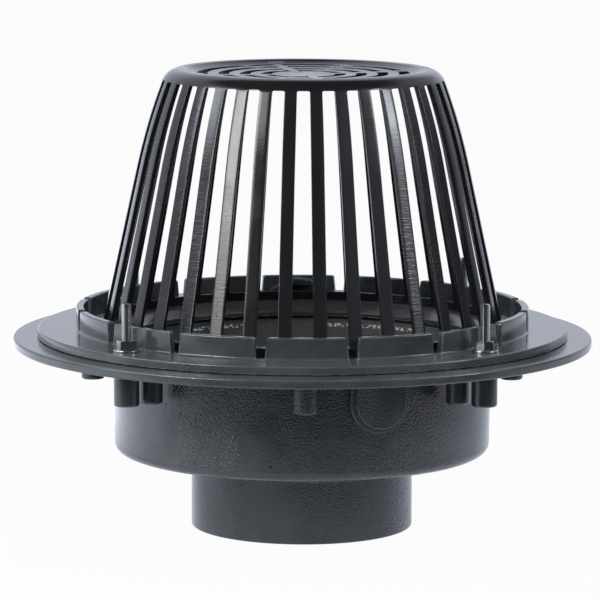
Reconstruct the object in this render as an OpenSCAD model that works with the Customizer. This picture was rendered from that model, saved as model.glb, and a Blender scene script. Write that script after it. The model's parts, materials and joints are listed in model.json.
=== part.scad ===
// Flat roof drain: cast body with outlet, sump and roof flange, clamping ring
// with a slotted gravel guard, dome strainer, and four studs with washers and
// nuts. Millimetres, +Z up. The origin is on the drain's axis, at the open
// end of the outlet.

/* [Outlet] */
// Outside diameter of the outlet hub
outlet_od = 146; // [140:1:150]
// Diameter of the bore that takes the pipe
outlet_bore = 127; // [120:1:130]
// Depth of that bore, up to the shoulder
bore_depth = 36; // [30:1:38]
// Diameter of the throat above the shoulder
throat_d = 102; // [90:1:110]
// Height of the outlet hub below the sump
outlet_h = 43.5; // [42:0.5:48]

/* [Sump] */
// Outside diameter of the sump at the flange
sump_od = 249.5; // [246:0.1:251]
// Wall thickness of the sump
wall = 6.5; // [5.5:0.5:7.5]
// Draft of the sump wall in degrees
sump_draft = 0.8; // [0.4:0.1:1.2]
// Radius of the sump's lower corner
sump_corner = 6.5; // [5:0.5:9]
// Fall of the sump's underside, from its corner to the hub
floor_fall = 7.1; // [4:0.1:9]

/* [Flange] */
// Diameter of the roof flange
flange_d = 381; // [376:1:390]
// Height of the flange's top above the outlet's end
flange_top = 126.8; // [124:0.2:130]
// Thickness of the flange at its edge
flange_t = 5.8; // [5:0.2:7]
// Diameter at which the flange starts to dip to the sump
seat_d = 277; // [275:1:280]
// Depth of the conical seat at the sump's edge
seat_drop = 6.2; // [5.6:0.2:7]

/* [Bosses] */
// Number of bosses in the circle close to the sump
boss_count = 8; // [4:4:8]
// Diameter of that circle
boss_circle = 276.4; // [274:0.2:278]
// Turn of that circle about the axis in degrees
boss_turn = 0.85; // [0:0.05:3]
// Diameter of each boss
boss_d = 15.4; // [13:0.1:16]
// Height of the bosses' ends above the outlet's end
boss_end = 97; // [92:1:104]
// Diameter of the stud bosses
stud_boss_d = 16.4; // [14:0.2:18]
// Height of the stud bosses' ends above the outlet's end
stud_boss_end = 97.8; // [93:0.2:104]
// Radius of the round end of the side pad
pad_r = 17.5; // [15:0.5:18]
// Height of the middle of that round end
pad_z = 101; // [98:1:104]
// Turn of the pad from the front in degrees
pad_turn = 23.1; // [20:0.1:25]

/* [Clamping ring] */
// Outside diameter of the clamping ring
ring_d = 349; // [345:1:353]
// Thickness of the ring over its seat on the flange
ring_t = 5.7; // [5:0.1:6.5]
// Inside diameter of the ring
ring_bore = 230; // [226:1:232]
// Gap under the ring outside its seat
ring_relief = 0.6; // [0.4:0.1:1]
// Width of the ring's flat seat on the flange
ring_seat_w = 13.5; // [11:0.5:16]

/* [Gravel guard] */
// Outside diameter of the guard
guard_d = 298; // [296:1:300]
// Wall of the guard
guard_wall = 5; // [4:0.5:6]
// Height of the guard above the ring
guard_h = 13.9; // [12:0.1:16]
// Number of slots in the guard
slot_count = 16; // [12:4:20]
// Width of a slot at its mouth
slot_mouth = 8; // [6:0.2:9]
// Width of a slot at its foot
slot_foot = 5.4; // [4:0.2:6]
// Turn of the castings about the axis in degrees
casting_turn = 1.1; // [0:0.1:3]

/* [Dome strainer] */
// Height of the dome from its hoop's foot to its crown
dome_h = 170.9; // [165:0.1:176]
// Outside diameter of the bars' foot circle
dome_foot_d = 265.2; // [264:0.2:266]
// Lean of the bars in degrees
bar_lean = 12.37; // [12:0.01:12.6]
// Height at which the bars start to curve inwards
bend_h = 108.5; // [100:0.5:115]
// Radius of that curve
crown_r = 390; // [380:5:400]
// Radius of the dome's shoulder
shoulder_r = 12.8; // [11.5:0.1:15]
// Number of bars
bar_count = 36; // [32:1:38]
// Width of a bar at its foot
bar_foot_w = 8.9; // [8:0.1:9.5]
// Width of a bar at the shoulder
bar_top_w = 7.9; // [7:0.1:8.5]
// Depth of the bars and thickness of the dome's wall
dome_wall = 3; // [2.5:0.1:3.5]
// Height of the hoop that joins the bars' feet
hoop_h = 6; // [5:0.5:8]
// Outside diameter of that hoop
hoop_d = 267; // [266.6:0.2:270]
// Depth of the dish in the dome's crown
dish_depth = 3.7; // [3:0.1:4.5]
// Number of slotted rings in the crown
crown_rings = 4; // [3:1:4]
// Pitch of those rings
crown_pitch = 14; // [13:0.1:14.2]
// Width of the slots in the crown
crown_slot_w = 6.6; // [5:0.1:7.5]
// Width of the four arms between them
crown_arm_w = 7; // [6:0.5:10]

/* [Fasteners] */
// Number of studs
stud_count = 4; // [4:1:4]
// Diameter of the stud circle
stud_circle = 320; // [318:1:322]
// Diameter of the studs
stud_d = 6.35; // [6:0.05:7]
// Height of the studs above the ring
stud_proud = 30.5; // [24:0.5:36]
// Width of the nuts across their flats
nut_af = 11.1; // [10.8:0.1:12]
// Height of the nuts
nut_h = 5.6; // [5:0.1:6.5]
// Diameter of the washers
washer_d = 16.5; // [15.5:0.5:17]
// Thickness of the washers
washer_t = 1.6; // [1.2:0.1:2]

/* [Hidden] */

$fn = 96;

// Colours of the paint, the dome's plastic and the plated fasteners
paint = "#5a6269";
dome_black = "#1f1f21";
zinc = "#c2c4c2";

// Overlap of shapes that are cut or joined
eps = 0.01;
reach = 5;

// Levels of the body
flange_under = flange_top - flange_t;
sump_r = sump_od / 2;
outlet_r = outlet_od / 2;
flange_r = flange_d / 2;
edge_r = 1.2;
corner_z = outlet_h + floor_fall;
haunch_h = 10;
haunch_w = 22;
floor_t = wall;

// Levels of the clamping ring
ring_r = ring_d / 2;
ring_top = flange_top + ring_t;
ring_under = flange_top + ring_relief;
seat_in_r = seat_d / 2;
seat_out_r = seat_in_r + ring_seat_w;
guard_r = guard_d / 2;
guard_in_r = guard_r - guard_wall;
guard_top = ring_top + guard_h;
dome_floor = ring_top - 1;
lip_top = flange_top - 1.3;
lip_under = flange_top - 4.6;
sill = 0.4;

// Lugs inside the guard, which centre the dome
lug_end = 9.6;
lug_crest = 8.5;
lug_foot = 20;
lug_step = 8;
lug_gap = 8.6;
lug_in_r = 137;
lug_top = guard_top - 1.6;

// Stud circle and the pockets that clear a socket around the nuts
stud_r = stud_d / 2;
stud_angle = 45;
thread_play = 0.025;
stud_foot = stud_boss_end + 3.2;
stud_top = ring_top + stud_proud;
stud_chamfer = 0.7;
pocket_r = 12.5;
ring_hole_r = 3.9;
nut_chamfer = 0.7;
nut_turns = [9, 7, 12, 47];

// Centres and angles of the dome's section
dome_top = dome_floor + dome_h;
foot_r = dome_foot_d / 2;
bend_r = foot_r - bend_h * tan(bar_lean);
bend_z = dome_floor + bend_h;
crown_c = [bend_r - crown_r * cos(bar_lean), bend_z - crown_r * sin(bar_lean)];
shoulder_a = asin((dome_top - shoulder_r - crown_c[1]) / (crown_r - shoulder_r));
shoulder_c = crown_c + (crown_r - shoulder_r) * [cos(shoulder_a), sin(shoulder_a)];
dish_edge_r = 5;
dish_edge_a = 35;
dish_r = shoulder_c[0] - 9.4;
dish_rise = 1;
opening_top = dome_top - 6.9;
opening_top_r = shoulder_c[0] + sqrt(pow(shoulder_r, 2) - pow(opening_top - shoulder_c[1], 2));
opening_mid = bend_z - 6;
opening_mid_r = bend_r + 6 * tan(bar_lean);
opening_corner = 1.1;
first_ring_r = shoulder_c[0] - 14.6;

// Points on an arc round c, from angle a0 to angle a1
function arc(c, r, a0, a1, n) =
    [for (i = [0:n]) c + r * [cos(a0 + (a1 - a0) * i / n), sin(a0 + (a1 - a0) * i / n)]];

// The same list of points, last one first
function reversed(points) = [for (i = [len(points) - 1:-1:0]) points[i]];

// An outline from its right half, mirrored in the upright axis
function both_sides(half) = concat(half, [for (p = reversed(half)) [-p[0], p[1]]]);

// Section of the body, right of the axis
function sump_line(z) = sump_r - (flange_under - z) * tan(sump_draft);
function body_outside() = concat(
    [[outlet_r - edge_r, 0], [outlet_r, edge_r], [outlet_r, outlet_h - 2.5]],
    [[outlet_r + 2.5, outlet_h + 0.3]],
    [[sump_line(corner_z) - sump_corner - 2, corner_z - 0.9]],
    arc([sump_line(corner_z) - sump_corner, corner_z + sump_corner - 0.6], sump_corner, -75, 0, 5),
    [[sump_r - 0.1, flange_under - haunch_h]],
    [[sump_r + 6, flange_under - haunch_h / 2]],
    [[sump_r + haunch_w, flange_under]],
    arc([flange_r - edge_r, flange_under + edge_r], edge_r, -90, 0, 3),
    arc([flange_r - edge_r, flange_top - edge_r], edge_r, 0, 90, 3));
function body_inside() = concat(
    [[seat_in_r, flange_top]],
    [[sump_r - wall + 0.8, flange_top - seat_drop]],
    [[sump_r - wall, flange_top - seat_drop - 0.8]],
    [[sump_line(corner_z) - wall, corner_z + floor_t + 5]],
    arc([sump_line(corner_z) - wall - 5, corner_z + floor_t + 5], 5, -20, -70, 3),
    [[outlet_r, outlet_h + floor_t + 0.6]],
    [[throat_d / 2 + 3, outlet_h + floor_t - 1.4]],
    [[throat_d / 2, outlet_h + floor_t - 4]],
    [[throat_d / 2, bore_depth]],
    [[outlet_bore / 2, bore_depth]],
    [[outlet_bore / 2, edge_r / 2], [outlet_bore / 2 + edge_r / 2, 0]]);

// Section of the clamping ring with its guard
function ring_section() = concat(
    [[seat_in_r - 0.5, flange_top], [seat_out_r, flange_top]],
    [[seat_out_r + 1, ring_under]],
    arc([ring_r - 1, ring_under + 1], 1, -90, 0, 2),
    arc([ring_r - 1, ring_top - 1], 1, 0, 90, 3),
    arc([guard_r + 1.6, ring_top + 1.6], 1.6, 270, 180, 3),
    arc([guard_r - 0.8, guard_top - 0.8], 0.8, 0, 90, 2),
    arc([guard_in_r + 0.8, guard_top - 0.8], 0.8, 90, 180, 2),
    [[guard_in_r, dome_floor]],
    [[foot_r - 4.4, dome_floor]],
    [[ring_bore / 2 + 0.6, lip_top]],
    [[ring_bore / 2, lip_top - 0.5]],
    [[ring_bore / 2, lip_under]]);

// Outer line of the dome's wall, or the line that lies inset by t
function dome_line(t) = concat(
    [[0, dome_top - dish_depth - t]],
    [[dish_r, dome_top - dish_depth + dish_rise - t]],
    arc([shoulder_c[0] - 2.4, dome_top - dish_edge_r], dish_edge_r - t, 90 + dish_edge_a, 90, 2),
    arc(shoulder_c, shoulder_r - t, 90, shoulder_a, 6),
    arc(crown_c, crown_r - t, shoulder_a, bar_lean, 4),
    [[foot_r - t / cos(bar_lean), dome_floor]]);

// Section of the hoop round the bars' feet
function hoop_section() = concat(
    [[foot_r - 4.2, dome_floor], [hoop_d / 2, dome_floor]],
    arc([hoop_d / 2 - 1.5, dome_floor + hoop_h - 1.5], 1.5, 0, 90, 3),
    [[foot_r - 4.2, dome_floor + hoop_h]]);

// Half the gap between two bars of width w at radius r
function half_gap(r, w) = r * sin(180 / bar_count - asin(w / 2 / r));

// Outline of the opening between two bars, seen along the radius
function opening() =
    let (low = dome_floor + hoop_h,
         low_w = half_gap(foot_r - hoop_h * tan(bar_lean), bar_foot_w),
         mid_w = half_gap(opening_mid_r, (bar_foot_w + bar_top_w) / 2),
         top_w = half_gap(opening_top_r, bar_top_w),
         c = opening_corner)
    both_sides(concat(
        arc([low_w - c, low + c], c, -90, 0, 3),
        [[mid_w, opening_mid]],
        arc([top_w - c, opening_top - c], c, 0, 90, 3)));

// Outline of a guard slot, with the wall's round corners at its mouth
function guard_slot() =
    let (c = 1.8, foot = ring_top + sill)
    both_sides(concat(
        [[slot_foot / 2, foot]],
        arc([slot_mouth / 2 + c - 0.2, guard_top - c], c, 180, 90, 3),
        [[slot_mouth / 2 + c, guard_top + 1]]));

// Outline of a lug: undercut and round at one end, a slanted lead-in at the other
function lug_outline() = concat(
    [[-lug_end, dome_floor + lug_gap], [lug_step, dome_floor + lug_gap]],
    [[lug_step, dome_floor - 1], [lug_foot, dome_floor - 1]],
    [[lug_foot, lug_top - 8], [lug_crest, lug_top]],
    arc([3 - lug_end, lug_top - 3], 3, 90, 180, 3));

// Places a child, drawn in X and Y, upright and facing outwards at radius r
module radial(angle, r, depth) {
    rotate([0, 0, angle])
        translate([r, 0, 0])
            rotate([90, 0, 90])
                linear_extrude(height = depth)
                    children();
}

// Repeats a child round the axis
module around(count, first) {
    for (i = [0:count - 1])
        rotate([0, 0, first + i * 360 / count])
            children();
}

// A boss that hangs from the flange to a bevelled end
module boss(d, end) {
    bevel = 1.2;
    translate([0, 0, end])
        cylinder(h = bevel, r1 = d / 2 - bevel, r2 = d / 2, $fn = 48);
    translate([0, 0, end + bevel - eps])
        cylinder(h = flange_under + 1 - end - bevel, r = d / 2, $fn = 48);
}

// One step of the side pad: a round end below, straight sides above
module pad_step(r) {
    translate([0, pad_z])
        circle(r = r, $fn = 64);
    translate([-r, pad_z])
        square([2 * r, flange_under - 3 - pad_z]);
}

module drain_body() {
    color(paint)
    difference() {
        union() {
            rotate_extrude($fn = 180)
                polygon(concat(body_outside(), body_inside()));
            around(boss_count, boss_turn)
                translate([boss_circle / 2, 0, 0])
                    boss(boss_d, boss_end);
            around(stud_count, stud_angle + casting_turn)
                translate([stud_circle / 2, 0, 0])
                    boss(stud_boss_d, stud_boss_end);
            radial(pad_turn - 90, sump_r - 4, 8.8)
                pad_step(pad_r);
            radial(pad_turn - 90, sump_r - 4, 5.8)
                pad_step(pad_r + 3);
        }
        around(stud_count, stud_angle + casting_turn)
            translate([stud_circle / 2, 0, stud_foot])
                cylinder(h = flange_top + reach - stud_foot, r = stud_r + thread_play, $fn = 32);
    }
}

module clamp_ring() {
    color(paint)
    difference() {
        union() {
            rotate_extrude($fn = 180)
                polygon(ring_section());
            for (side = [0, 180])
                radial(casting_turn + 90 + side, lug_in_r, guard_in_r - lug_in_r + 2)
                    polygon(lug_outline());
        }
        for (i = [0:slot_count - 1])
            radial(casting_turn + 90 + (i + 0.5) * 360 / slot_count, guard_in_r - 3, guard_wall + 6)
                polygon(guard_slot());
        around(stud_count, stud_angle + casting_turn)
            translate([stud_circle / 2, 0, ring_top + sill])
                cylinder(h = guard_h + reach, r = pocket_r, $fn = 64);
        around(stud_count, stud_angle + casting_turn)
            translate([stud_circle / 2, 0, flange_top - reach])
                cylinder(h = ring_t + 2 * reach, r = ring_hole_r, $fn = 32);
    }
}

// One ring of the crown's slots, cut into four by the arms
module crown_slots(r) {
    difference() {
        circle(r = r + crown_slot_w / 2, $fn = 96);
        circle(r = r - crown_slot_w / 2, $fn = 96);
        for (a = [0, 90])
            rotate(a)
                square([2 * r + 2 * crown_slot_w, crown_arm_w], center = true);
    }
}

module dome_strainer() {
    color(dome_black)
    difference() {
        union() {
            rotate_extrude($fn = 180)
                polygon(concat(dome_line(0), reversed(dome_line(dome_wall))));
            rotate_extrude($fn = 180)
                polygon(hoop_section());
        }
        for (i = [0:bar_count - 1])
            radial(90 + i * 360 / bar_count, foot_r / 2, foot_r)
                polygon(opening());
        for (i = [0:crown_rings - 1])
            rotate([0, 0, 15])
                translate([0, 0, dome_top - 20])
                    linear_extrude(height = 25)
                        crown_slots(first_ring_r - i * crown_pitch);
    }
}

// A stud of the clamping ring, screwed to the floor of its hole
module stud() {
    color(zinc) {
        translate([0, 0, stud_foot])
            cylinder(h = stud_top - stud_foot - stud_chamfer, r = stud_r, $fn = 32);
        translate([0, 0, stud_top - stud_chamfer - eps])
            cylinder(h = stud_chamfer + eps, r1 = stud_r, r2 = stud_r - stud_chamfer, $fn = 32);
    }
}

// A hexagon nut, with the corners turned off at its top and its foot
module nut(turn) {
    corner_r = nut_af / 2 / cos(30);
    color(zinc)
    translate([0, 0, ring_top + washer_t])
        difference() {
            intersection() {
                rotate([0, 0, turn])
                    cylinder(h = nut_h, r = corner_r, $fn = 6);
                rotate_extrude($fn = 48)
                    polygon([[0, 0], [corner_r - nut_chamfer, 0], [corner_r + 0.1, nut_chamfer * 0.6],
                             [corner_r + 0.1, nut_h - nut_chamfer * 0.6],
                             [corner_r - nut_chamfer, nut_h], [0, nut_h]]);
            }
            translate([0, 0, -reach])
                cylinder(h = nut_h + 2 * reach, r = stud_r + thread_play, $fn = 32);
        }
}

module washer() {
    color(zinc)
    translate([0, 0, ring_top])
        difference() {
            cylinder(h = washer_t, r = washer_d / 2, $fn = 48);
            translate([0, 0, -reach])
                cylinder(h = washer_t + 2 * reach, r = stud_r + 0.4, $fn = 32);
        }
}

// Puts a child at stud number n, counted from the front left one
module at_stud(n) {
    rotate([0, 0, 180 + stud_angle + casting_turn + (n - 1) * 360 / stud_count])
        translate([stud_circle / 2, 0, 0])
            children();
}

drain_body();
clamp_ring();
dome_strainer();
at_stud(1) stud();  // stud_1
at_stud(2) stud();  // stud_2
at_stud(3) stud();  // stud_3
at_stud(4) stud();  // stud_4
at_stud(1) nut(nut_turns[0]);  // nut_1
at_stud(2) nut(nut_turns[1]);  // nut_2
at_stud(3) nut(nut_turns[2]);  // nut_3
at_stud(4) nut(nut_turns[3]);  // nut_4
at_stud(1) washer();  // washer_1
at_stud(2) washer();  // washer_2
at_stud(3) washer();  // washer_3
at_stud(4) washer();  // washer_4
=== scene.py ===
"""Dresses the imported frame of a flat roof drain: castings, dome strainer, fasteners, finishes and studio."""

import json
import logging
import math
from collections.abc import Callable, Iterator, Sequence
from contextlib import contextmanager
from dataclasses import dataclass, field
from enum import Enum

import bmesh
import bpy
from mathutils import Matrix, Vector

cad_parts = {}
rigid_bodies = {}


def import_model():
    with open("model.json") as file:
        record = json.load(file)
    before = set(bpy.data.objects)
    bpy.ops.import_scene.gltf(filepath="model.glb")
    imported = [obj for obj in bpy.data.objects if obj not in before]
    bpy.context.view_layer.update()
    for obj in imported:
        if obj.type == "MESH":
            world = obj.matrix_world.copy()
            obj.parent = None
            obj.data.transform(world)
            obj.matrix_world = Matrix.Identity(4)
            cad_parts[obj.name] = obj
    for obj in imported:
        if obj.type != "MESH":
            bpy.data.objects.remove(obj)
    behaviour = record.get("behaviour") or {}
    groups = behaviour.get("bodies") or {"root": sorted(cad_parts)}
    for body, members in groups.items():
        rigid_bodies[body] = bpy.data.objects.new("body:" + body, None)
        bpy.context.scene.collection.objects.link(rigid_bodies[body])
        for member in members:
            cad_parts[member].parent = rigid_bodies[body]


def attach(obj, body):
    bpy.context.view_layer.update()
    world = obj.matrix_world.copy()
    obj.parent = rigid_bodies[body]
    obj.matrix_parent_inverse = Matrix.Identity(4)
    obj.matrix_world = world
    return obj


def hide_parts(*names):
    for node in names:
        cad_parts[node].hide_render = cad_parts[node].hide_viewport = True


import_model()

LOG = logging.getLogger("roof_drain")

MM = 0.001
FULL_TURN = 2 * math.pi
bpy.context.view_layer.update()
BODY = "root"

# What the castings and the fasteners share: degrees from the front, counter-clockwise from above, and millimetres.
CASTING_TURN = 1.1
STUDS = 4
FIRST_STUD = 45.0
STUD_CIRCLE = 160.0
FLANGE_TOP = 126.8
RING_TOP = 132.5
RING_FLOOR = 131.5

Point2 = tuple[float, float]
Point3 = tuple[float, float, float]
Colour = tuple[float, float, float, float]
Range = tuple[float, ...]
Object = bpy.types.Object
Edge = bmesh.types.BMEdge
Tree = bpy.types.NodeTree
Node = bpy.types.Node
Socket = bpy.types.NodeSocket


# ---------------------------------------------------------------------------
# Outlines, in millimetres: x is the radius or the width, y is the height
# ---------------------------------------------------------------------------


@dataclass(frozen=True)
class Corner:
    """A corner of an outline, with the radius that rounds it."""

    x: float
    y: float
    radius: float = 0.0


def rounded(corners: Sequence[Corner], steps: int = 4) -> list[Point2]:
    """Turns a closed outline's corners into arcs.

    Args:
        corners: The outline's corners, in order.
        steps: Chords in each arc.

    Returns:
        The outline's points, in the same order.
    """
    points: list[Point2] = []
    for i, corner in enumerate(corners):
        following = corners[(i + 1) % len(corners)]
        here = Vector((corner.x, corner.y))
        before = Vector((corners[i - 1].x, corners[i - 1].y)) - here
        after = Vector((following.x, following.y)) - here
        angle = before.angle(after)
        if corner.radius <= 0:
            points.append((corner.x, corner.y))
            continue
        reach = corner.radius / math.tan(angle / 2)
        start = here + before.normalized() * reach
        end = here + after.normalized() * reach
        halfway = (before.normalized() + after.normalized()).normalized()
        middle = here + halfway * (corner.radius / math.sin(angle / 2))
        sweep = (start - middle).angle_signed(end - middle)
        for step in range(steps + 1):
            spoke = (start - middle).copy()
            spoke.rotate(Matrix.Rotation(-sweep * step / steps, 2))
            points.append(tuple(middle + spoke))
    return points


def arc(centre: Point2, radius: float, start: float, end: float, steps: int) -> list[Point2]:
    """Points on an arc.

    Args:
        centre: The arc's centre.
        radius: Its radius.
        start: Angle of the first point, in degrees.
        end: Angle of the last point, in degrees.
        steps: Chords in the arc.

    Returns:
        The arc's points, first to last.
    """
    points = []
    for step in range(steps + 1):
        angle = math.radians(start + (end - start) * step / steps)
        points.append((centre[0] + radius * math.cos(angle), centre[1] + radius * math.sin(angle)))
    return points


def rod(radius: float, low: float, high: float) -> list[Point2]:
    """The section of a plain rod, right of its axis."""
    return [(0, low), (radius, low), (radius, high), (0, high)]


def symmetric(half: Sequence[Point2]) -> list[Point2]:
    """A whole outline from its right half, given from the bottom up."""
    return [*half, *((-x, y) for x, y in reversed(half))]


# ---------------------------------------------------------------------------
# The bench: the hand tools that every piece is made with
# ---------------------------------------------------------------------------


class Bench:
    """Modelling steps with Blender's own operators, on one piece at a time."""

    @staticmethod
    def clear_selection() -> None:
        """Deselects every object."""
        for piece in bpy.context.view_layer.objects:
            piece.select_set(False)

    @classmethod
    def pick(cls, piece: Object) -> None:
        """Selects one piece alone and makes it the active one."""
        cls.clear_selection()
        piece.select_set(True)
        bpy.context.view_layer.objects.active = piece

    @classmethod
    @contextmanager
    def editing(cls, piece: Object) -> Iterator[None]:
        """Opens a piece in edit mode with all of it selected, and closes it again."""
        cls.pick(piece)
        bpy.ops.object.mode_set(mode="EDIT")
        bpy.ops.mesh.select_all(action="SELECT")
        try:
            yield
        finally:
            bpy.ops.object.mode_set(mode="OBJECT")

    @staticmethod
    def face_outwards() -> None:
        """Turns all faces of the piece in edit mode outwards."""
        bpy.ops.mesh.select_all(action="SELECT")
        bpy.ops.mesh.normals_make_consistent(inside=False)

    @staticmethod
    def merge_close(distance: float) -> None:
        """Merges the points of the piece in edit mode that are closer than a distance in millimetres."""
        bpy.ops.mesh.select_all(action="SELECT")
        bpy.ops.mesh.remove_doubles(threshold=distance * MM)

    @staticmethod
    def select_edges(piece: Object, wanted: Callable[[Edge], bool]) -> int:
        """Selects the edges of the piece in edit mode that pass a test, and no others.

        Args:
            piece: The piece in edit mode.
            wanted: Says whether an edge is selected.

        Returns:
            The number of edges selected.
        """
        bpy.ops.mesh.select_all(action="DESELECT")
        bpy.ops.mesh.select_mode(type="EDGE")
        mesh = bmesh.from_edit_mesh(piece.data)
        chosen = 0
        for edge in mesh.edges:
            keep = wanted(edge)
            edge.select_set(keep)
            chosen += keep
        bmesh.update_edit_mesh(piece.data)
        return chosen

    @classmethod
    def draw(cls, name: str, points: Sequence[Vector], closed: bool = True) -> Object:
        """Draws a chain of edges, one extruded point after the other.

        Args:
            name: Name of the new piece.
            points: The chain's points, in metres.
            closed: Whether the last point joins the first.

        Returns:
            The new piece, which has edges only.
        """
        cls.clear_selection()
        bpy.ops.mesh.primitive_plane_add(size=MM, location=points[0])
        piece = bpy.context.active_object
        piece.name = piece.data.name = name
        bpy.ops.object.transform_apply(location=True, rotation=False, scale=False)
        with cls.editing(piece):
            bpy.ops.mesh.select_mode(type="VERT")
            bpy.ops.mesh.merge(type="CENTER")
            for here, there in zip(points, points[1:]):
                bpy.ops.mesh.extrude_region_move(TRANSFORM_OT_translate={"value": there - here})
            if closed:
                mesh = bmesh.from_edit_mesh(piece.data)
                for vert in mesh.verts:
                    vert.select_set(len(vert.link_edges) == 1)
                bmesh.update_edit_mesh(piece.data)
                bpy.ops.mesh.edge_face_add()
        return piece

    @classmethod
    def lathe(cls, name: str, outline: Sequence[Point2], steps: int, first: float = 0.0) -> Object:
        """Spins a closed outline once round the upright axis.

        Args:
            name: Name of the new piece.
            outline: Radius and height of the outline's points, in millimetres.
            steps: Number of columns round the axis.
            first: Angle of the first column from +X, in degrees.

        Returns:
            The closed, turned piece.
        """
        angle = math.radians(first)
        across = Vector((math.cos(angle), math.sin(angle), 0))
        piece = cls.draw(name, [(across * radius + Vector((0, 0, height))) * MM for radius, height in outline])
        with cls.editing(piece):
            bpy.ops.mesh.spin(steps=steps, angle=FULL_TURN, center=(0, 0, 0), axis=(0, 0, 1))
            cls.merge_close(0.002)
            bpy.ops.mesh.dissolve_degenerate(threshold=0.001 * MM)
            cls.face_outwards()
        return piece

    @classmethod
    def slab(cls, name: str, points: Sequence[Point3], offset: Point3) -> Object:
        """Fills a flat outline and extrudes it once.

        Args:
            name: Name of the new piece.
            points: The outline's points, in millimetres.
            offset: How far it is extruded along each axis, in millimetres.

        Returns:
            The closed piece.
        """
        piece = cls.draw(name, [Vector(point) * MM for point in points])
        with cls.editing(piece):
            bpy.ops.mesh.edge_face_add()
            bpy.ops.mesh.extrude_region_move(TRANSFORM_OT_translate={"value": [value * MM for value in offset]})
            cls.face_outwards()
        return piece

    @classmethod
    def plate(cls, name: str, outline: Sequence[Point2], low: float, high: float) -> Object:
        """Extrudes a level outline upwards, from one level to another in millimetres."""
        return cls.slab(name, [(x, y, low) for x, y in outline], (0, 0, high - low))

    @classmethod
    def prism(cls, name: str, outline: Sequence[Point2], near: float, far: float) -> Object:
        """Extrudes an upright outline outwards at the front, from one distance from the axis to another."""
        return cls.slab(name, [(x, -near, z) for x, z in outline], (0, near - far, 0))

    @classmethod
    def loft(cls, name: str, stations: Sequence[tuple[float, Sequence[Point2]]]) -> Object:
        """Extrudes an upright outline outwards through several outlines of as many points.

        Args:
            name: Name of the new piece.
            stations: Distance from the axis and outline at each station, from the nearest on, in millimetres.

        Returns:
            The closed piece, which stands at the front.
        """
        reach, outline = stations[0]
        piece = cls.draw(name, [Vector((x, -reach, z)) * MM for x, z in outline])
        with cls.editing(piece):
            bpy.ops.mesh.edge_face_add()
            for next_reach, next_outline in stations[1:]:
                bpy.ops.mesh.extrude_region_move(TRANSFORM_OT_translate={"value": (0, (reach - next_reach) * MM, 0)})
                mesh = bmesh.from_edit_mesh(piece.data)
                for vert in (vert for vert in mesh.verts if vert.select):
                    place = (vert.co.x / MM, vert.co.z / MM)
                    index = min(range(len(outline)), key=lambda i: math.dist(outline[i], place))
                    vert.co.x, vert.co.z = (value * MM for value in next_outline[index])
                bmesh.update_edit_mesh(piece.data)
                reach, outline = next_reach, next_outline
            cls.face_outwards()
        return piece

    @classmethod
    def round_edges(cls, piece: Object, radius: float, segments: int, wanted: Callable[[Edge], bool]) -> None:
        """Rounds the sharp outer edges of a piece that pass a test.

        Args:
            piece: The piece to change.
            radius: Width of the rounding, in millimetres.
            segments: Faces across the rounding.
            wanted: Says whether an edge is rounded.
        """
        crease = math.radians(40)
        with cls.editing(piece):
            if cls.select_edges(
                piece, lambda edge: edge.is_manifold and edge.calc_face_angle_signed() > crease and wanted(edge)
            ):
                bpy.ops.mesh.bevel(
                    offset=radius * MM, segments=segments, profile=0.5, affect="EDGES", clamp_overlap=False
                )

    @staticmethod
    def at_reach(edge: Edge, reach: float) -> bool:
        """Whether an edge lies in the upright plane at the front, that far from the axis in millimetres."""
        return all(abs(vert.co.y + reach * MM) < 0.05 * MM for vert in edge.verts)

    @staticmethod
    def is_upright(edge: Edge, length: float) -> bool:
        """Whether an edge stands upright and is at least that long, in millimetres."""
        low, high = sorted(vert.co.z for vert in edge.verts)
        return high - low >= length * MM

    @classmethod
    def close_ends(cls, piece: Object) -> None:
        """Closes the open rims at the lower and the upper end of the piece in edit mode."""
        middle = sum(vert.co.z for vert in piece.data.vertices) / len(piece.data.vertices)
        for upper in (False, True):
            cls.select_edges(
                piece, lambda edge: edge.is_boundary and all((vert.co.z > middle) == upper for vert in edge.verts)
            )
            bpy.ops.mesh.edge_face_add()

    @classmethod
    def settle(cls, piece: Object) -> None:
        """Writes a piece's place and turn into its mesh."""
        cls.pick(piece)
        bpy.ops.object.transform_apply(location=True, rotation=True, scale=True)

    @classmethod
    def shift(cls, piece: Object, offset: Point3) -> None:
        """Moves a piece by an offset in millimetres."""
        piece.location = Vector(offset) * MM
        cls.settle(piece)

    @classmethod
    def turn(cls, piece: Object, angle: float) -> None:
        """Turns a piece about the drain's axis, counter-clockwise from above, in degrees."""
        piece.rotation_euler = (0, 0, math.radians(angle))
        cls.settle(piece)

    @classmethod
    def set_out(cls, piece: Object, reach: float, angle: float) -> Object:
        """Moves a piece from the axis to a distance from it in millimetres, and an angle from the front in degrees."""
        cls.shift(piece, (0, -reach, 0))
        cls.turn(piece, angle)
        return piece

    @classmethod
    def copy(cls, piece: Object, name: str) -> Object:
        """Copies a piece, mesh and all."""
        cls.pick(piece)
        bpy.ops.object.duplicate(linked=False)
        twin = bpy.context.active_object
        twin.name = twin.data.name = name
        return twin

    @classmethod
    def around(cls, piece: Object, count: int) -> Object:
        """Repeats a piece evenly round the axis and joins all of them to it."""
        twins = [cls.copy(piece, f"{piece.name}_{i}") for i in range(1, count)]
        for i, twin in enumerate(twins, 1):
            cls.turn(twin, 360 * i / count)
        return cls.join([piece, *twins])

    @classmethod
    def on_studs(cls, piece: Object) -> Object:
        """Repeats a piece that stands on the axis at each of the studs."""
        return cls.around(cls.set_out(piece, STUD_CIRCLE, CASTING_TURN + FIRST_STUD), STUDS)

    @classmethod
    def join(cls, pieces: Sequence[Object]) -> Object:
        """Joins pieces into the first of them, without changing their faces."""
        cls.pick(pieces[0])
        for piece in pieces:
            piece.select_set(True)
        bpy.ops.object.join()
        return pieces[0]

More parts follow.
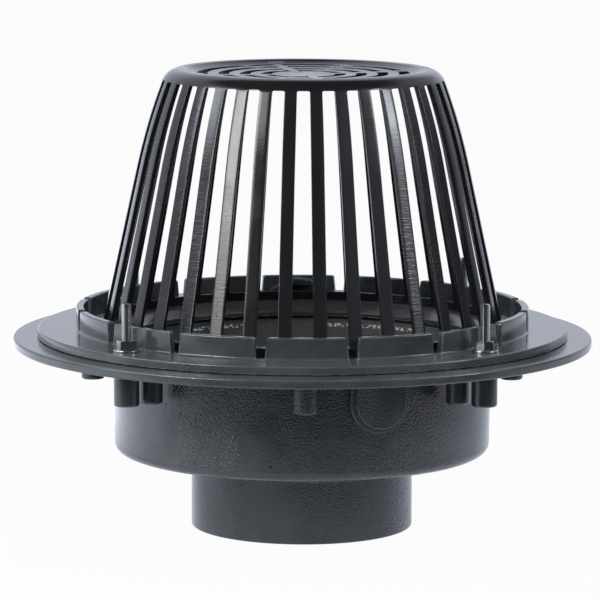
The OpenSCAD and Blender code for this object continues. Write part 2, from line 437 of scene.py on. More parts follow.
    @classmethod
    def modify(cls, piece: Object, kind: str, **settings: object) -> None:
        """Applies a modifier of a kind, with its settings, to a piece."""
        cls.pick(piece)
        step = piece.modifiers.new(kind.lower(), kind)
        for name, value in settings.items():
            setattr(step, name, value)
        bpy.ops.object.modifier_apply(modifier=step.name)

    @classmethod
    def combine(cls, piece: Object, tool: Object, how: str) -> None:
        """Cuts a tool out of a piece, or welds it on, and uses the tool up.

        Args:
            piece: The piece that is changed.
            tool: The closed mesh that changes it.
            how: DIFFERENCE, UNION or INTERSECT.
        """
        cls.modify(piece, "BOOLEAN", operation=how, solver="EXACT", object=tool)
        bpy.data.objects.remove(tool, do_unlink=True)

    @classmethod
    def tidy(cls, piece: Object, distance: float = 0.01) -> None:
        """Merges points that lie within a distance of each other, in millimetres, and drops empty faces."""
        with cls.editing(piece):
            cls.merge_close(distance)
            bpy.ops.mesh.dissolve_degenerate(threshold=distance * MM)

    @classmethod
    def smooth(cls, piece: Object, angle: float, flat_faces: bool = True) -> None:
        """Shades a piece smooth, up to a crease angle in degrees, and keeps its large faces flat if asked to."""
        cls.pick(piece)
        bpy.ops.object.shade_smooth_by_angle(angle=math.radians(angle))
        if flat_faces:
            cls.modify(piece, "WEIGHTED_NORMAL", keep_sharp=True)


# ---------------------------------------------------------------------------
# Finishes
# ---------------------------------------------------------------------------


class Graph:
    """Builds one node tree, of a material, of the world or of a shader node group."""

    def __init__(self, tree: Tree) -> None:
        """Starts with an empty tree."""
        self.tree = tree
        self.tree.nodes.clear()

    def put(self, term: object, slot: Socket) -> None:
        """Links a socket to an input, or writes a value into it."""
        if isinstance(term, Socket):
            self.tree.links.new(term, slot)
        else:
            slot.default_value = term

    def add(self, kind: str, **settings: object) -> Node:
        """Adds a node.

        Args:
            kind: The node's type without its ShaderNode prefix.
            **settings: Properties of the node, or values or sockets for inputs that are named in_NAME.

        Returns:
            The new node.
        """
        prefix = "" if kind.startswith("Node") else "ShaderNode"
        node = self.tree.nodes.new(prefix + kind)
        for name, value in settings.items():
            if name.startswith("in_"):
                self.put(value, node.inputs[name[3:].replace("_", " ")])
            else:
                setattr(node, name, value)
        return node

    def place(self) -> Socket:
        """The place in the object's own frame."""
        return self.add("TexCoord").outputs["Object"]

    def axes(self, where: Socket) -> Sequence[Socket]:
        """The X, Y and Z of a place."""
        return self.add("SeparateXYZ", in_Vector=where).outputs

    def math(self, how: str, *terms: object, clamp: bool = False) -> Socket:
        """Does arithmetic on up to three terms, each a number or a socket.

        Args:
            how: The Math node's operation.
            *terms: The operands.
            clamp: Whether the result stays between 0 and 1.

        Returns:
            The result's socket.
        """
        node = self.add("Math", operation=how, use_clamp=clamp)
        for slot, term in zip(node.inputs, terms):
            self.put(term, slot)
        return node.outputs[0]

    def product(self, first: Socket, *others: object) -> Socket:
        """Multiplies a value by each of the others in turn."""
        for other in others:
            first = self.math("MULTIPLY", first, other)
        return first

    def away(self, value: Socket, centre: float) -> Socket:
        """How far a value is from a centre."""
        return self.math("ABSOLUTE", self.math("SUBTRACT", value, centre))

    def vector(self, how: str, first: Socket, second: object = None) -> Socket:
        """Does vector arithmetic: MULTIPLY gives a vector, LENGTH, DISTANCE and DOT_PRODUCT give a value."""
        node = self.add("VectorMath", operation=how)
        self.put(first, node.inputs[0])
        if second is not None:
            self.put(second, node.inputs[1])
        return node.outputs["Vector" if how == "MULTIPLY" else "Value"]

    def remap(self, value: Socket, low: float, high: float, to_low: float = 0.0, to_high: float = 1.0) -> Socket:
        """Maps a range of values smoothly onto another one, and clamps it there."""
        node = self.add("MapRange", interpolation_type="SMOOTHSTEP", in_Value=value)
        for name, number in (("From Min", low), ("From Max", high), ("To Min", to_low), ("To Max", to_high)):
            node.inputs[name].default_value = number
        return node.outputs["Result"]

    def noise(
        self, where: Socket, scale: object, detail: float = 2.0, rough: float = 0.5, warp: float = 0.0
    ) -> Socket:
        """Adds a noise texture at a place and returns its value."""
        values = {"in_Scale": scale, "in_Detail": detail, "in_Roughness": rough, "in_Distortion": warp}
        return self.add("TexNoise", in_Vector=where, **values).outputs["Fac"]

    def cells(self, where: Socket, scale: object) -> Socket:
        """The distance to the nearest of many points that are strewn at random."""
        node = self.add("TexVoronoi", feature="F1", in_Vector=where, in_Scale=scale, in_Randomness=1.0)
        return node.outputs["Distance"]

    def blend(self, factor: Socket, first: object, second: Colour) -> Socket:
        """Mixes a colour into another one, which is a socket or a colour, by a factor."""
        node = self.add("Mix", data_type="RGBA")
        for index, term in ((0, factor), (6, first), (7, second)):
            self.put(term, node.inputs[index])
        return node.outputs[2]

    def mix(self, factor: Socket, first: Node, second: Node) -> Node:
        """Mixes two shaders by a factor."""
        node = self.add("MixShader")
        for slot, term in zip(node.inputs, (factor, first.outputs[0], second.outputs[0])):
            self.put(term, slot)
        return node


class Effect(Graph):
    """A shader node group of float sockets, which is built once and placed in each material that uses it."""

    def __init__(self, name: str, **inputs: float) -> None:
        """Makes a group with named inputs and their default values."""
        super().__init__(bpy.data.node_groups.new(name, "ShaderNodeTree"))
        for label, value in inputs.items():
            self.new_socket(label.replace("_", " "), "INPUT").default_value = value
        self.values = self.add("NodeGroupInput").outputs
        self.where = self.place()

    def new_socket(self, label: str, way: str) -> bpy.types.NodeTreeInterfaceSocket:
        """Adds an input or an output to the group."""
        return self.tree.interface.new_socket(label, in_out=way, socket_type="NodeSocketFloat")

    def give(self, **outputs: Socket) -> Tree:
        """Ends the group with named outputs and returns its tree."""
        for label in outputs:
            self.new_socket(label, "OUTPUT")
        self.add("NodeGroupOutput", **{f"in_{label}": socket for label, socket in outputs.items()})
        return self.tree


class Surface(Graph):
    """A material with one Principled shader."""

    def __init__(self, name: str) -> None:
        """Starts the material with its shader."""
        self.material = bpy.data.materials.new(name)
        self.material.use_nodes = True
        super().__init__(self.material.node_tree)
        self.shader = self.add("BsdfPrincipled")
        self.add("OutputMaterial", in_Surface=self.shader.outputs["BSDF"])

    def effect(self, tree: Tree, **values: float) -> Sequence[Socket]:
        """Places a node group with its own values, named in_NAME, and returns its outputs."""
        return self.add("Group", node_tree=tree, **values).outputs

    def gloss(self, mottle: Socket, least: float, most: float) -> Socket:
        """A roughness that follows the mottling."""
        return self.remap(mottle, 0.25, 0.75, least, most)

    def wear(self, colour: Socket, gloss: Socket, height: Socket, depth: float) -> bpy.types.Material:
        """Gives the shader its colour, its roughness and bumps of a depth in metres, and returns the material."""
        bump = self.add("Bump", in_Distance=depth, in_Strength=1.0, in_Height=height)
        for name, socket in (("Base Color", colour), ("Roughness", gloss), ("Normal", bump.outputs["Normal"])):
            self.put(socket, self.shader.inputs[name])
        return self.material


@dataclass(frozen=True)
class CastSkin:
    """The skin of a casting: orange peel in patches, fine grain, mottling, pinholes and single pits.

    A range is where a mask starts and ends, in metres for places, and then the values that it goes between.
    """

    patch_scale: float = 14.0
    patches: Range = (0.40, 0.60, 0.22, 1.0)
    flange_fade: Range = (0.112, 0.122, 1.0, 0.3)
    hub_fade: Range = (0.044, 0.052, 0.45, 1.0)
    middle: float = 0.008
    side_fade: Range = (0.086, 0.102, 1.0, 0.22)
    coarse_at: float = 0.066
    coarse_fade: Range = (0.008, 0.026, 2.2, 1.0)
    pinhole_scale: float = 85.0
    pinholes: Range = (0.10, 0.04)
    rare_scale: float = 31.0
    rare: Range = (0.62, 0.66)
    pinhole_depth: float = 2.0
    mottle_scale: float = 38.0
    # Place and radius of each single pit, in millimetres.
    pits: tuple[tuple[Point3, float], ...] = (
        ((-86.4, -89.5, 95.0), 0.9),
        ((-87.5, -88.3, 91.5), 0.7),
        ((-77.0, -97.6, 90.5), 1.0),
        ((-19.4, -122.4, 60.5), 1.2),
        ((115.8, -44.5, 71.0), 0.8),
        ((44.0, -114.8, 88.0), 0.8),
        ((-53.9, -114.9, 155.4), 0.8),
    )

    def group(self) -> Tree:
        """Builds the group, which gives a height, a mottling and a mask of the holes."""
        graph = Effect("cast_skin", Peel_Size=240.0, Grain_Size=900.0, Peel=1.0, Grain=0.3, Pinholes=1.0)
        where, values = graph.where, graph.values
        x, _, z = graph.axes(where)
        across = graph.away(x, self.middle)
        peel = graph.product(
            graph.noise(where, values["Peel Size"], 1.0, 0.5, 0.2),
            graph.remap(graph.noise(where, self.patch_scale), *self.patches),
            graph.remap(z, *self.flange_fade),
            graph.remap(z, *self.hub_fade),
            graph.remap(across, *self.side_fade),
            graph.remap(graph.away(across, self.coarse_at), *self.coarse_fade),
            values["Peel"],
        )
        grain = graph.product(graph.noise(where, values["Grain Size"], 3.0, 0.6), values["Grain"])
        rare = graph.remap(graph.noise(where, self.rare_scale, 1.0), *self.rare)
        cells = graph.cells(where, self.pinhole_scale)
        holes = graph.product(graph.remap(cells, *self.pinholes), rare, values["Pinholes"])
        for place, radius in self.pits:
            near = graph.vector("DISTANCE", where, Vector(place) * MM)
            holes = graph.math("MAXIMUM", holes, graph.remap(near, radius * MM, 0.5 * radius * MM))
        raised = graph.math("ADD", peel, grain)
        height = graph.math("SUBTRACT", raised, graph.product(holes, self.pinhole_depth))
        mottle = graph.noise(where, self.mottle_scale, 4.0, 0.6)
        return graph.give(Height=height, Mottle=mottle, Pinhole=holes)


@dataclass(frozen=True)
class WallZones:
    """Where the casting's walls carry painted light and shade: painted light on the inner walls, painted shade on the
    inner lip and under the flange, and painted glints in a row on the rear inner wall. A range is where a mask starts
    and ends.
    """

    # Inner walls, by reach and level: coloured lighter there as painted light, and made rougher.
    inner_reach: Range = (0.1200, 0.1190)
    inside_top: Range = (0.1216, 0.1208)
    inside_foot: Range = (0.056, 0.062)
    # Inner lip, by reach and level: coloured darker and warmer there as painted shade.
    lip_reach: Range = (0.1310, 0.1285)
    lip_foot: Range = (0.1214, 0.1220)
    # A row of pale dots along the rear inner wall, at one level: painted glints where the edge there catches the light.
    glint_level: float = 0.1158
    chip_line: Range = (0.0014, 0.0008)
    glint_edge: Range = (0.56, 0.44)
    glint_rear: Range = (0.0, 0.02)
    glint_spans: tuple[tuple[float, Range], ...] = ((-0.058, (0.019, 0.015)), (0.048, (0.032, 0.028)))
    # Outer sump wall under the flange, by reach and level: coloured darker there as painted shade of the flange's
    # overhang.
    outer_reach: tuple[Range, Range] = ((0.1275, 0.1262), (0.1205, 0.1215))
    under_flange: tuple[Range, Range] = ((0.070, 0.092), (0.120, 0.117))

    def group(self) -> Tree:
        """Builds the group, which gives a mask for each zone."""
        # The size input sets how fine the painted glint dots are.
        graph = Effect("wall_zones", Chip_Size=600.0)
        where = graph.where
        x, y, z = graph.axes(where)
        reach = graph.vector("LENGTH", graph.vector("MULTIPLY", where, (1.0, 1.0, 0.0)))
        inner = graph.remap(reach, *self.inner_reach)
        left, right = (graph.remap(graph.away(x, middle), *span) for middle, span in self.glint_spans)
        # Painted glints: pale dots in a row on the rear inner wall.
        glint_dots = graph.product(
            graph.remap(graph.cells(where, graph.values["Chip Size"]), *self.glint_edge),
            graph.remap(graph.away(z, self.glint_level), *self.chip_line),
            graph.math("MAXIMUM", left, right),
            graph.remap(y, *self.glint_rear),
            inner,
        )
        bounds = [(reach, band) for band in self.outer_reach] + [(z, band) for band in self.under_flange]
        return graph.give(
            # Painted light: the inner walls are lightened.
            Inside=graph.product(inner, graph.remap(z, *self.inside_top), graph.remap(z, *self.inside_foot)),
            # Painted shade: the inner lip is darkened and warmed.
            Lip=graph.product(graph.remap(reach, *self.lip_reach), graph.remap(z, *self.lip_foot)),
            Chips=glint_dots,
            # Painted shade: the outer wall under the flange is darkened.
            Under=graph.product(*(graph.remap(value, *band) for value, band in bounds)),
        )


@dataclass(frozen=True)
class EdgeWearAndHighlight:
    """Wear and painted highlight on sharp outer edges, broken up by noise."""

    sharp: Range = (0.995, 0.90)
    break_scale: float = 180.0
    breaks: Range = (0.42, 0.62)

    def group(self) -> Tree:
        """Builds the group, which gives a mask of the sharp edges, for wear and a painted highlight."""
        graph = Effect("edge_wear_highlight", Reach=0.0008, Amount=1.0)
        soft = graph.add("Bevel", samples=4, in_Radius=graph.values["Reach"]).outputs["Normal"]
        bend = graph.vector("DOT_PRODUCT", soft, graph.add("NewGeometry").outputs["Normal"])
        breaks = graph.remap(graph.noise(graph.where, self.break_scale, 3.0), *self.breaks)
        edge_wear_and_highlight = graph.product(graph.remap(bend, *self.sharp), breaks)
        # The edge mask carries wear and a painted highlight.
        return graph.give(Edge=graph.math("MULTIPLY", edge_wear_and_highlight, graph.values["Amount"], clamp=True))


@dataclass(frozen=True)
class CastingCoat:
    """Dark blue-grey coating, baked on a cast iron skin."""

    colour: Colour = (0.032, 0.039, 0.039, 1.0)
    pale: Colour = (0.049, 0.058, 0.059, 1.0)
    # Light grey on sharp edges: partly wear, partly a painted highlight where edges catch the light.
    edge_wear_and_highlight: Colour = (0.30, 0.32, 0.33, 1.0)
    # Near black for pits and pinholes: the pits are dented by the bump, and their dark colour is painted shade inside
    # them.
    pit: Colour = (0.006, 0.006, 0.006, 1.0)
    # Lighter tone for the inner walls: painted light where they lie in shade.
    inner_painted_light: Colour = (0.076, 0.077, 0.075, 1.0)
    # Darker, warmer tone for the inner lip: painted shade.
    lip_painted_shade: Colour = (0.036, 0.036, 0.035, 1.0)
    # Darker tone for the outer wall under the flange: painted shade.
    flange_painted_shade: Colour = (0.020, 0.024, 0.024, 1.0)
    # Pale colour of the dots on the rear inner wall: painted glints.
    painted_glint: Colour = (0.75, 0.75, 0.73, 1.0)
    roughness: Range = (0.06, 0.16)
    dust: float = 0.35
    peel_depth: float = 0.0007

    def material(self, skin: Tree, wear_and_highlight: Tree, walls: Tree) -> bpy.types.Material:
        """Builds the coating's material from the shared effects."""
        graph = Surface("casting_coat")
        cast = graph.effect(skin, in_Peel_Size=950.0, in_Peel=1.0, in_Grain=0.08)
        edges = graph.effect(wear_and_highlight, in_Reach=0.0009, in_Amount=0.75)
        zones = graph.effect(walls)
        coat = graph.blend(graph.remap(cast["Mottle"], 0.3, 0.7), self.colour, self.pale)
        for mask, tone in (
            # Painted shade under the flange.
            (zones["Under"], self.flange_painted_shade),
            # Painted light on the inner walls.
            (zones["Inside"], self.inner_painted_light),
            # Painted shade on the inner lip.
            (zones["Lip"], self.lip_painted_shade),
            # Wear and painted highlight on sharp edges.
            (edges["Edge"], self.edge_wear_and_highlight),
            # Painted glints on the rear inner wall.
            (zones["Chips"], self.painted_glint),
            # Pits and pinholes: dented by the bump, darkened as painted shade.
            (cast["Pinhole"], self.pit),
        ):
            coat = graph.blend(mask, coat, tone)
        gloss = graph.math("MULTIPLY_ADD", zones["Inside"], self.dust, graph.gloss(cast["Mottle"], *self.roughness))
        return graph.wear(coat, gloss, cast["Height"], self.peel_depth)


@dataclass(frozen=True)
class MouldedBlack:
    """Black moulded plastic with a soft gloss and fine flow lines across its bars."""

    colour: Colour = (0.007, 0.007, 0.008, 1.0)
    # Lighter colour on sharp edges: partly wear, partly a painted highlight.
    worn_and_highlit_edge: Colour = (0.05, 0.05, 0.052, 1.0)
    roughness: Range = (0.12, 0.24)
    lines: float = 0.6
    line_scale: float = 1300.0
    line_stretch: Point3 = (0.05, 0.05, 1.0)
    patch_scale: float = 12.0
    line_patches: Range = (0.35, 0.60, 0.4, 1.0)
    line_sides: Range = (0.056, 0.066, 0.6, 2.9)
    depth: float = 0.00012

    def material(self, skin: Tree, wear_and_highlight: Tree) -> bpy.types.Material:
        """Builds the plastic's material from the shared effects."""
        graph = Surface("moulded_black")
        cast = graph.effect(skin, in_Peel_Size=300.0, in_Peel=0.25, in_Grain=0.12, in_Pinholes=0.0)
        edges = graph.effect(wear_and_highlight, in_Reach=0.0006, in_Amount=0.5)
        where = graph.place()
        drawn = graph.vector("MULTIPLY", where, self.line_stretch)
        lines = graph.product(graph.noise(drawn, self.line_scale, 2.0, 0.6), self.lines)
        patches = graph.remap(graph.noise(where, self.patch_scale, 1.0), *self.line_patches)
        across = graph.math("ABSOLUTE", graph.axes(where)[0])
        shown = graph.product(patches, graph.remap(across, *self.line_sides))
        height = graph.math("MULTIPLY_ADD", lines, shown, cast["Height"])
        # Sharp edges lighter: wear and painted highlight.
        colour = graph.blend(edges["Edge"], self.colour, self.worn_and_highlit_edge)
        return graph.wear(colour, graph.gloss(cast["Mottle"], *self.roughness), height, self.depth)


@dataclass(frozen=True)
class BrightZinc:
    """Bright zinc plate on steel, slightly clouded."""

    colour: Colour = (0.60, 0.61, 0.60, 1.0)
    cloudy: Colour = (0.42, 0.43, 0.42, 1.0)
    roughness: Range = (0.12, 0.22)
    depth: float = 0.00003

    def material(self, skin: Tree) -> bpy.types.Material:
        """Builds the plate's material from the shared effect."""
        graph = Surface("bright_zinc")
        graph.shader.inputs["Metallic"].default_value = 1.0
        cast = graph.effect(skin, in_Peel_Size=700.0, in_Peel=0.3, in_Grain=0.1, in_Pinholes=0.0)
        colour = graph.blend(graph.remap(cast["Mottle"], 0.3, 0.7), self.colour, self.cloudy)
        return graph.wear(colour, graph.gloss(cast["Mottle"], *self.roughness), cast["Height"], self.depth)


class Finish(Enum):
    """The record's material slots."""

    COAT = "casting_paint"
    PLASTIC = "dome_plastic"
    ZINC = "zinc"


class Finishes:
    """All materials of the drain, by the slot that they dress."""

    def __init__(self) -> None:
        """Builds the shared effects once and each material from them."""
        skin = CastSkin().group()
        wear_and_highlight = EdgeWearAndHighlight().group()
        self.materials = {
            Finish.COAT: CastingCoat().material(skin, wear_and_highlight, WallZones().group()),
            Finish.PLASTIC: MouldedBlack().material(skin, wear_and_highlight),
            Finish.ZINC: BrightZinc().material(skin),
        }

    def dress(self, piece: Object, finish: Finish) -> None:
        """Gives a piece its material, in place of any others."""
        piece.data.materials.clear()
        piece.data.materials.append(self.materials[finish])


# ---------------------------------------------------------------------------
# Castings and dome
# ---------------------------------------------------------------------------


@dataclass
class ClampRing:
    """The clamping ring with its slotted gravel guard, in millimetres."""

    outer_radius: float = 174.5
    bore_radius: float = 115.0
    underside: float = 127.2
    foot_rounding: float = 0.4
    edge_draft: float = 0.4
    rim_rounding: float = 1.2
    seat_radii: Point2 = (138.0, 152.0)
    lip_levels: Point2 = (122.2, 125.5)
    lip_rounding: float = 0.8
    floor_radius: float = 128.2
    floor_fillet: float = 1.2
    guard_radii: Point2 = (144.0, 149.0)
    guard_top: float = 146.4
    guard_rounding: float = 1.0
    guard_fillet: float = 1.6
    slots: int = 16
    slot_foot: float = 132.9
    slot_widths: Point2 = (5.4, 8.0)
    mouth_radius: float = 1.8
    slot_flare: float = 0.7
    pocket_radius: float = 12.5
    pocket_rounding: float = 0.8
    hole_radius: float = 3.9
    lugs: int = 2
    lug_radius: float = 137.0
    lug_top: float = 144.8
    lug_underside: float = 140.1
    lug_rounding: float = 0.9
    columns: int = 224

    def section(self) -> list[Point2]:
        """The ring's section, right of the axis, counter-clockwise."""
        inner, outer = self.guard_radii
        foot, rim, root = self.foot_rounding, self.rim_rounding, self.guard_fillet
        guard, floor, lip = self.guard_rounding, self.floor_fillet, self.lip_rounding
        return [
            (self.seat_radii[0], FLANGE_TOP),
            (self.seat_radii[1], FLANGE_TOP),
            (self.seat_radii[1] + 1, self.underside),
            *arc((self.outer_radius - foot, self.underside + foot), foot, -90, 0, 4),
            *arc((self.outer_radius - self.edge_draft - rim, RING_TOP - rim), rim, 6, 90, 6),
            *arc((outer + root, RING_TOP + root), root, 270, 180, 5),
            *arc((outer - guard, self.guard_top - guard), guard, 0, 90, 4),
            *arc((inner + guard, self.guard_top - guard), guard, 90, 180, 4),
            *arc((inner - floor, RING_FLOOR + floor), floor, 0, -90, 4),
            (self.floor_radius + 0.3, RING_FLOOR),
            (self.floor_radius - 0.6, RING_FLOOR - 0.2),
            (self.bore_radius + 1.3, self.lip_levels[1] + 0.2),
            *arc((self.bore_radius + lip, self.lip_levels[1] - lip), lip, 90, 180, 3),
            (self.bore_radius, self.lip_levels[0]),
        ]

    def slot_outline(self, spread: float) -> list[Point2]:
        """Outline of a guard slot, wider all round by the spread."""
        foot, mouth = self.slot_widths
        corner = self.mouth_radius
        sill = self.slot_foot - 0.6 * min(spread, 0.5)
        lips = arc((mouth / 2 + corner - 0.2, self.guard_top - corner), corner, 180, 90, 5)
        return symmetric(
            [
                (foot / 2 - 0.6 + spread, sill),
                (foot / 2 + spread, sill + 0.7),
                *[(x + spread, y) for x, y in lips],
                (mouth / 2 + corner + spread, self.guard_top + 3),
            ]
        )

    def slot(self) -> Object:
        """Cutter for a guard slot, which flares where it enters and leaves the guard."""
        inner, outer = self.guard_radii
        flare = self.slot_flare
        stations = [
            (inner - 4, flare * 3),
            (inner - 0.3, flare),
            (inner + 0.05, flare * 0.45),
            (inner + flare, 0.0),
            (outer - flare, 0.0),
            (outer - 0.1, flare * 0.45),
            (outer + 0.3, flare),
            (outer + 4, flare * 3),
        ]
        return Bench.loft("slot", [(reach, self.slot_outline(spread)) for reach, spread in stations])

    def lug(self) -> Object:
        """A lug that centres the dome: an undercut round end on the left, a slanted lead-in on the right."""
        corners = [
            Corner(-9.6, self.lug_underside, 0.6),
            Corner(8.0, self.lug_underside),
            Corner(8.0, RING_FLOOR - 1),
            Corner(20.0, RING_FLOOR - 1),
            Corner(20.0, self.lug_top - 8, 2.0),
            Corner(8.5, self.lug_top, 2.0),
            Corner(-9.6, self.lug_top, 3.0),
        ]
        lug = Bench.prism("lug", rounded(corners), self.lug_radius, self.guard_radii[0] + 2)
        Bench.round_edges(lug, self.lug_rounding, 3, lambda edge: Bench.at_reach(edge, self.lug_radius))
        Bench.turn(lug, CASTING_TURN)
        return lug

    def pocket(self) -> Object:
        """Cutter for the pocket that clears a socket round a nut."""
        radius, low, high = self.pocket_radius, self.slot_foot, self.guard_top + 6
        rounding = self.pocket_rounding
        outline = [(0, low), (radius - rounding, low), (radius, low + rounding), (radius, high), (0, high)]
        return Bench.lathe("pocket", outline, steps=64)

    def build(self) -> Object:
        """Turns the ring, welds its lugs on and cuts slots, pockets and holes."""
        ring = Bench.lathe("clamping_ring", self.section(), self.columns, CASTING_TURN + 180 / self.columns)
        Bench.combine(ring, Bench.around(self.lug(), self.lugs), "UNION")
        slot = self.slot()
        Bench.turn(slot, CASTING_TURN + 180 / self.slots)
        hole = Bench.lathe("hole", rod(self.hole_radius, FLANGE_TOP - 6, RING_TOP + 0.6), steps=40)
        for tool in (Bench.around(slot, self.slots), Bench.on_studs(self.pocket()), Bench.on_studs(hole)):
            Bench.combine(ring, tool, "DIFFERENCE")
        Bench.tidy(ring)
        Bench.smooth(ring, angle=32)
        return ring


@dataclass
class DomeStrainer:
    """The dome: upright bars between a hoop and a dished, slotted crown, in millimetres."""

    top: float = 302.4
    foot_radius: float = 132.6
    lean: float = 12.37
    bend_height: float = 108.5
    bend_radius: float = 390.0
    shoulder_radius: float = 12.8
    wall: float = 3.0
    bars: int = 36
    bar_widths: Point2 = (8.9, 7.9)
    hoop_height: float = 6.0
    hoop_radius: float = 133.5
    hoop_rounding: float = 1.5
    hoop_inset: float = 4.2
    collar: float = 0.5
    dish: float = 3.7
    lip_radius: float = 5.0
    lip_inset: float = 2.4
    lip_foot: float = 9.4
    opening_drop: float = 6.9
    opening_corner: float = 1.1
    crown_rings: int = 4
    ring_inset: float = 14.6
    ring_pitch: float = 14.0
    ring_slot: float = 6.6
    arms: int = 4
    arm_width: float = 7.0
    arm_angle: float = 15.0
    edge_rounding: float = 0.5
    columns: int = 180

    def __post_init__(self) -> None:
        """Works out the centres and angles of the dome's section."""
        lean = math.radians(self.lean)
        self.slope = math.tan(lean)
        self.bend_at = (self.foot_radius - self.bend_height * self.slope, RING_FLOOR + self.bend_height)
        self.bend_centre = (
            self.bend_at[0] - self.bend_radius * math.cos(lean),
            self.bend_at[1] - self.bend_radius * math.sin(lean),
        )
        spare = self.bend_radius - self.shoulder_radius
        shoulder = math.asin((self.top - self.shoulder_radius - self.bend_centre[1]) / spare)
        self.shoulder_angle = math.degrees(shoulder)
        self.shoulder_centre = (
            self.bend_centre[0] + spare * math.cos(shoulder),
            self.bend_centre[1] + spare * math.sin(shoulder),
        )

    def line(self, inset: float) -> list[Point2]:
        """The wall's outer line from the crown down to the bend's foot, or a line inset from it."""
        crown = self.shoulder_centre[0]
        return [
            (0, self.top - self.dish - inset),
            (crown * 0.5, self.top - self.dish + 0.35 - inset),
            (crown - self.lip_foot, self.top - self.dish + 1 - inset),
            *arc((crown - self.lip_inset, self.top - self.lip_radius), self.lip_radius - inset, 125, 90, 4),
            *arc(self.shoulder_centre, self.shoulder_radius - inset, 90, self.shoulder_angle, 12),
            *arc(self.bend_centre, self.bend_radius - inset, self.shoulder_angle, self.lean, 8)[1:],
        ]

    def section(self) -> list[Point2]:
        """Wall and hoop as one section, right of the axis."""
        rise = self.hoop_height + self.collar
        hoop_top, rounding = RING_FLOOR + rise, self.hoop_rounding
        return [
            *self.line(0),
            (self.foot_radius - rise * self.slope, hoop_top),
            *arc((self.hoop_radius - rounding, hoop_top - rounding), rounding, 90, 0, 5),
            (self.hoop_radius, RING_FLOOR + 0.4),
            (self.hoop_radius - 0.4, RING_FLOOR),
            (self.foot_radius - self.hoop_inset, RING_FLOOR),
            (self.foot_radius - self.hoop_inset, hoop_top),
            *reversed(self.line(self.wall)),
        ]

    def half_gap(self, radius: float, width: float) -> float:
        """Half the gap between two bars of a width, at a radius."""
        return radius * math.sin(math.pi / self.bars - math.asin(width / 2 / radius))

    def opening_outline(self) -> list[Point2]:
        """Outline of the opening between two bars, seen along the radius."""
        low = RING_FLOOR + self.hoop_height
        high = self.top - self.opening_drop
        rise = high - self.shoulder_centre[1]
        high_radius = self.shoulder_centre[0] + math.sqrt(self.shoulder_radius**2 - rise**2)
        foot, head = self.bar_widths
        low_half = self.half_gap(self.foot_radius - self.hoop_height * self.slope, foot)
        middle_half = self.half_gap(self.bend_at[0], (foot + head) / 2)
        high_half = self.half_gap(high_radius, head)
        corner = self.opening_corner
        return symmetric(
            [
                *arc((low_half - corner, low + corner), corner, -90, 0, 5),
                (middle_half, self.bend_at[1]),
                *arc((high_half - corner, high - corner), corner, 0, 90, 5),
            ]
        )

    def crown_slots(self, radius: float) -> Object:
        """Cutter for a ring of crown slots, one between each two arms."""
        spans = []
        for edge in (radius + self.ring_slot / 2, radius - self.ring_slot / 2):
            inset = math.degrees(math.asin(self.arm_width / 2 / edge))
            spans.append(arc((0, 0), edge, inset, 90 - inset, max(6, round(edge * 0.45))))
        tool = Bench.plate("crown_slot", [*spans[0], *reversed(spans[1])], self.top - 14, self.top + 4)
        Bench.turn(tool, self.arm_angle)
        return Bench.around(tool, self.arms)

    def build(self) -> Object:
        """Turns the dome, cuts its openings and its crown, and rounds their edges."""
        dome = Bench.lathe("dome_strainer", self.section(), self.columns, -90)
        opening = Bench.prism("opening", self.opening_outline(), self.foot_radius / 2, self.foot_radius * 1.2)
        first = self.shoulder_centre[0] - self.ring_inset
        rings = [self.crown_slots(first - ring * self.ring_pitch) for ring in range(self.crown_rings)]
        for tool in (Bench.around(opening, self.bars), Bench.join(rings)):
            Bench.combine(dome, tool, "DIFFERENCE")
        Bench.tidy(dome)
        low = (RING_FLOOR + self.hoop_height - 0.5) * MM
        Bench.round_edges(dome, self.edge_rounding, 2, lambda edge: min(vert.co.z for vert in edge.verts) > low)
        Bench.smooth(dome, angle=32)
        return dome


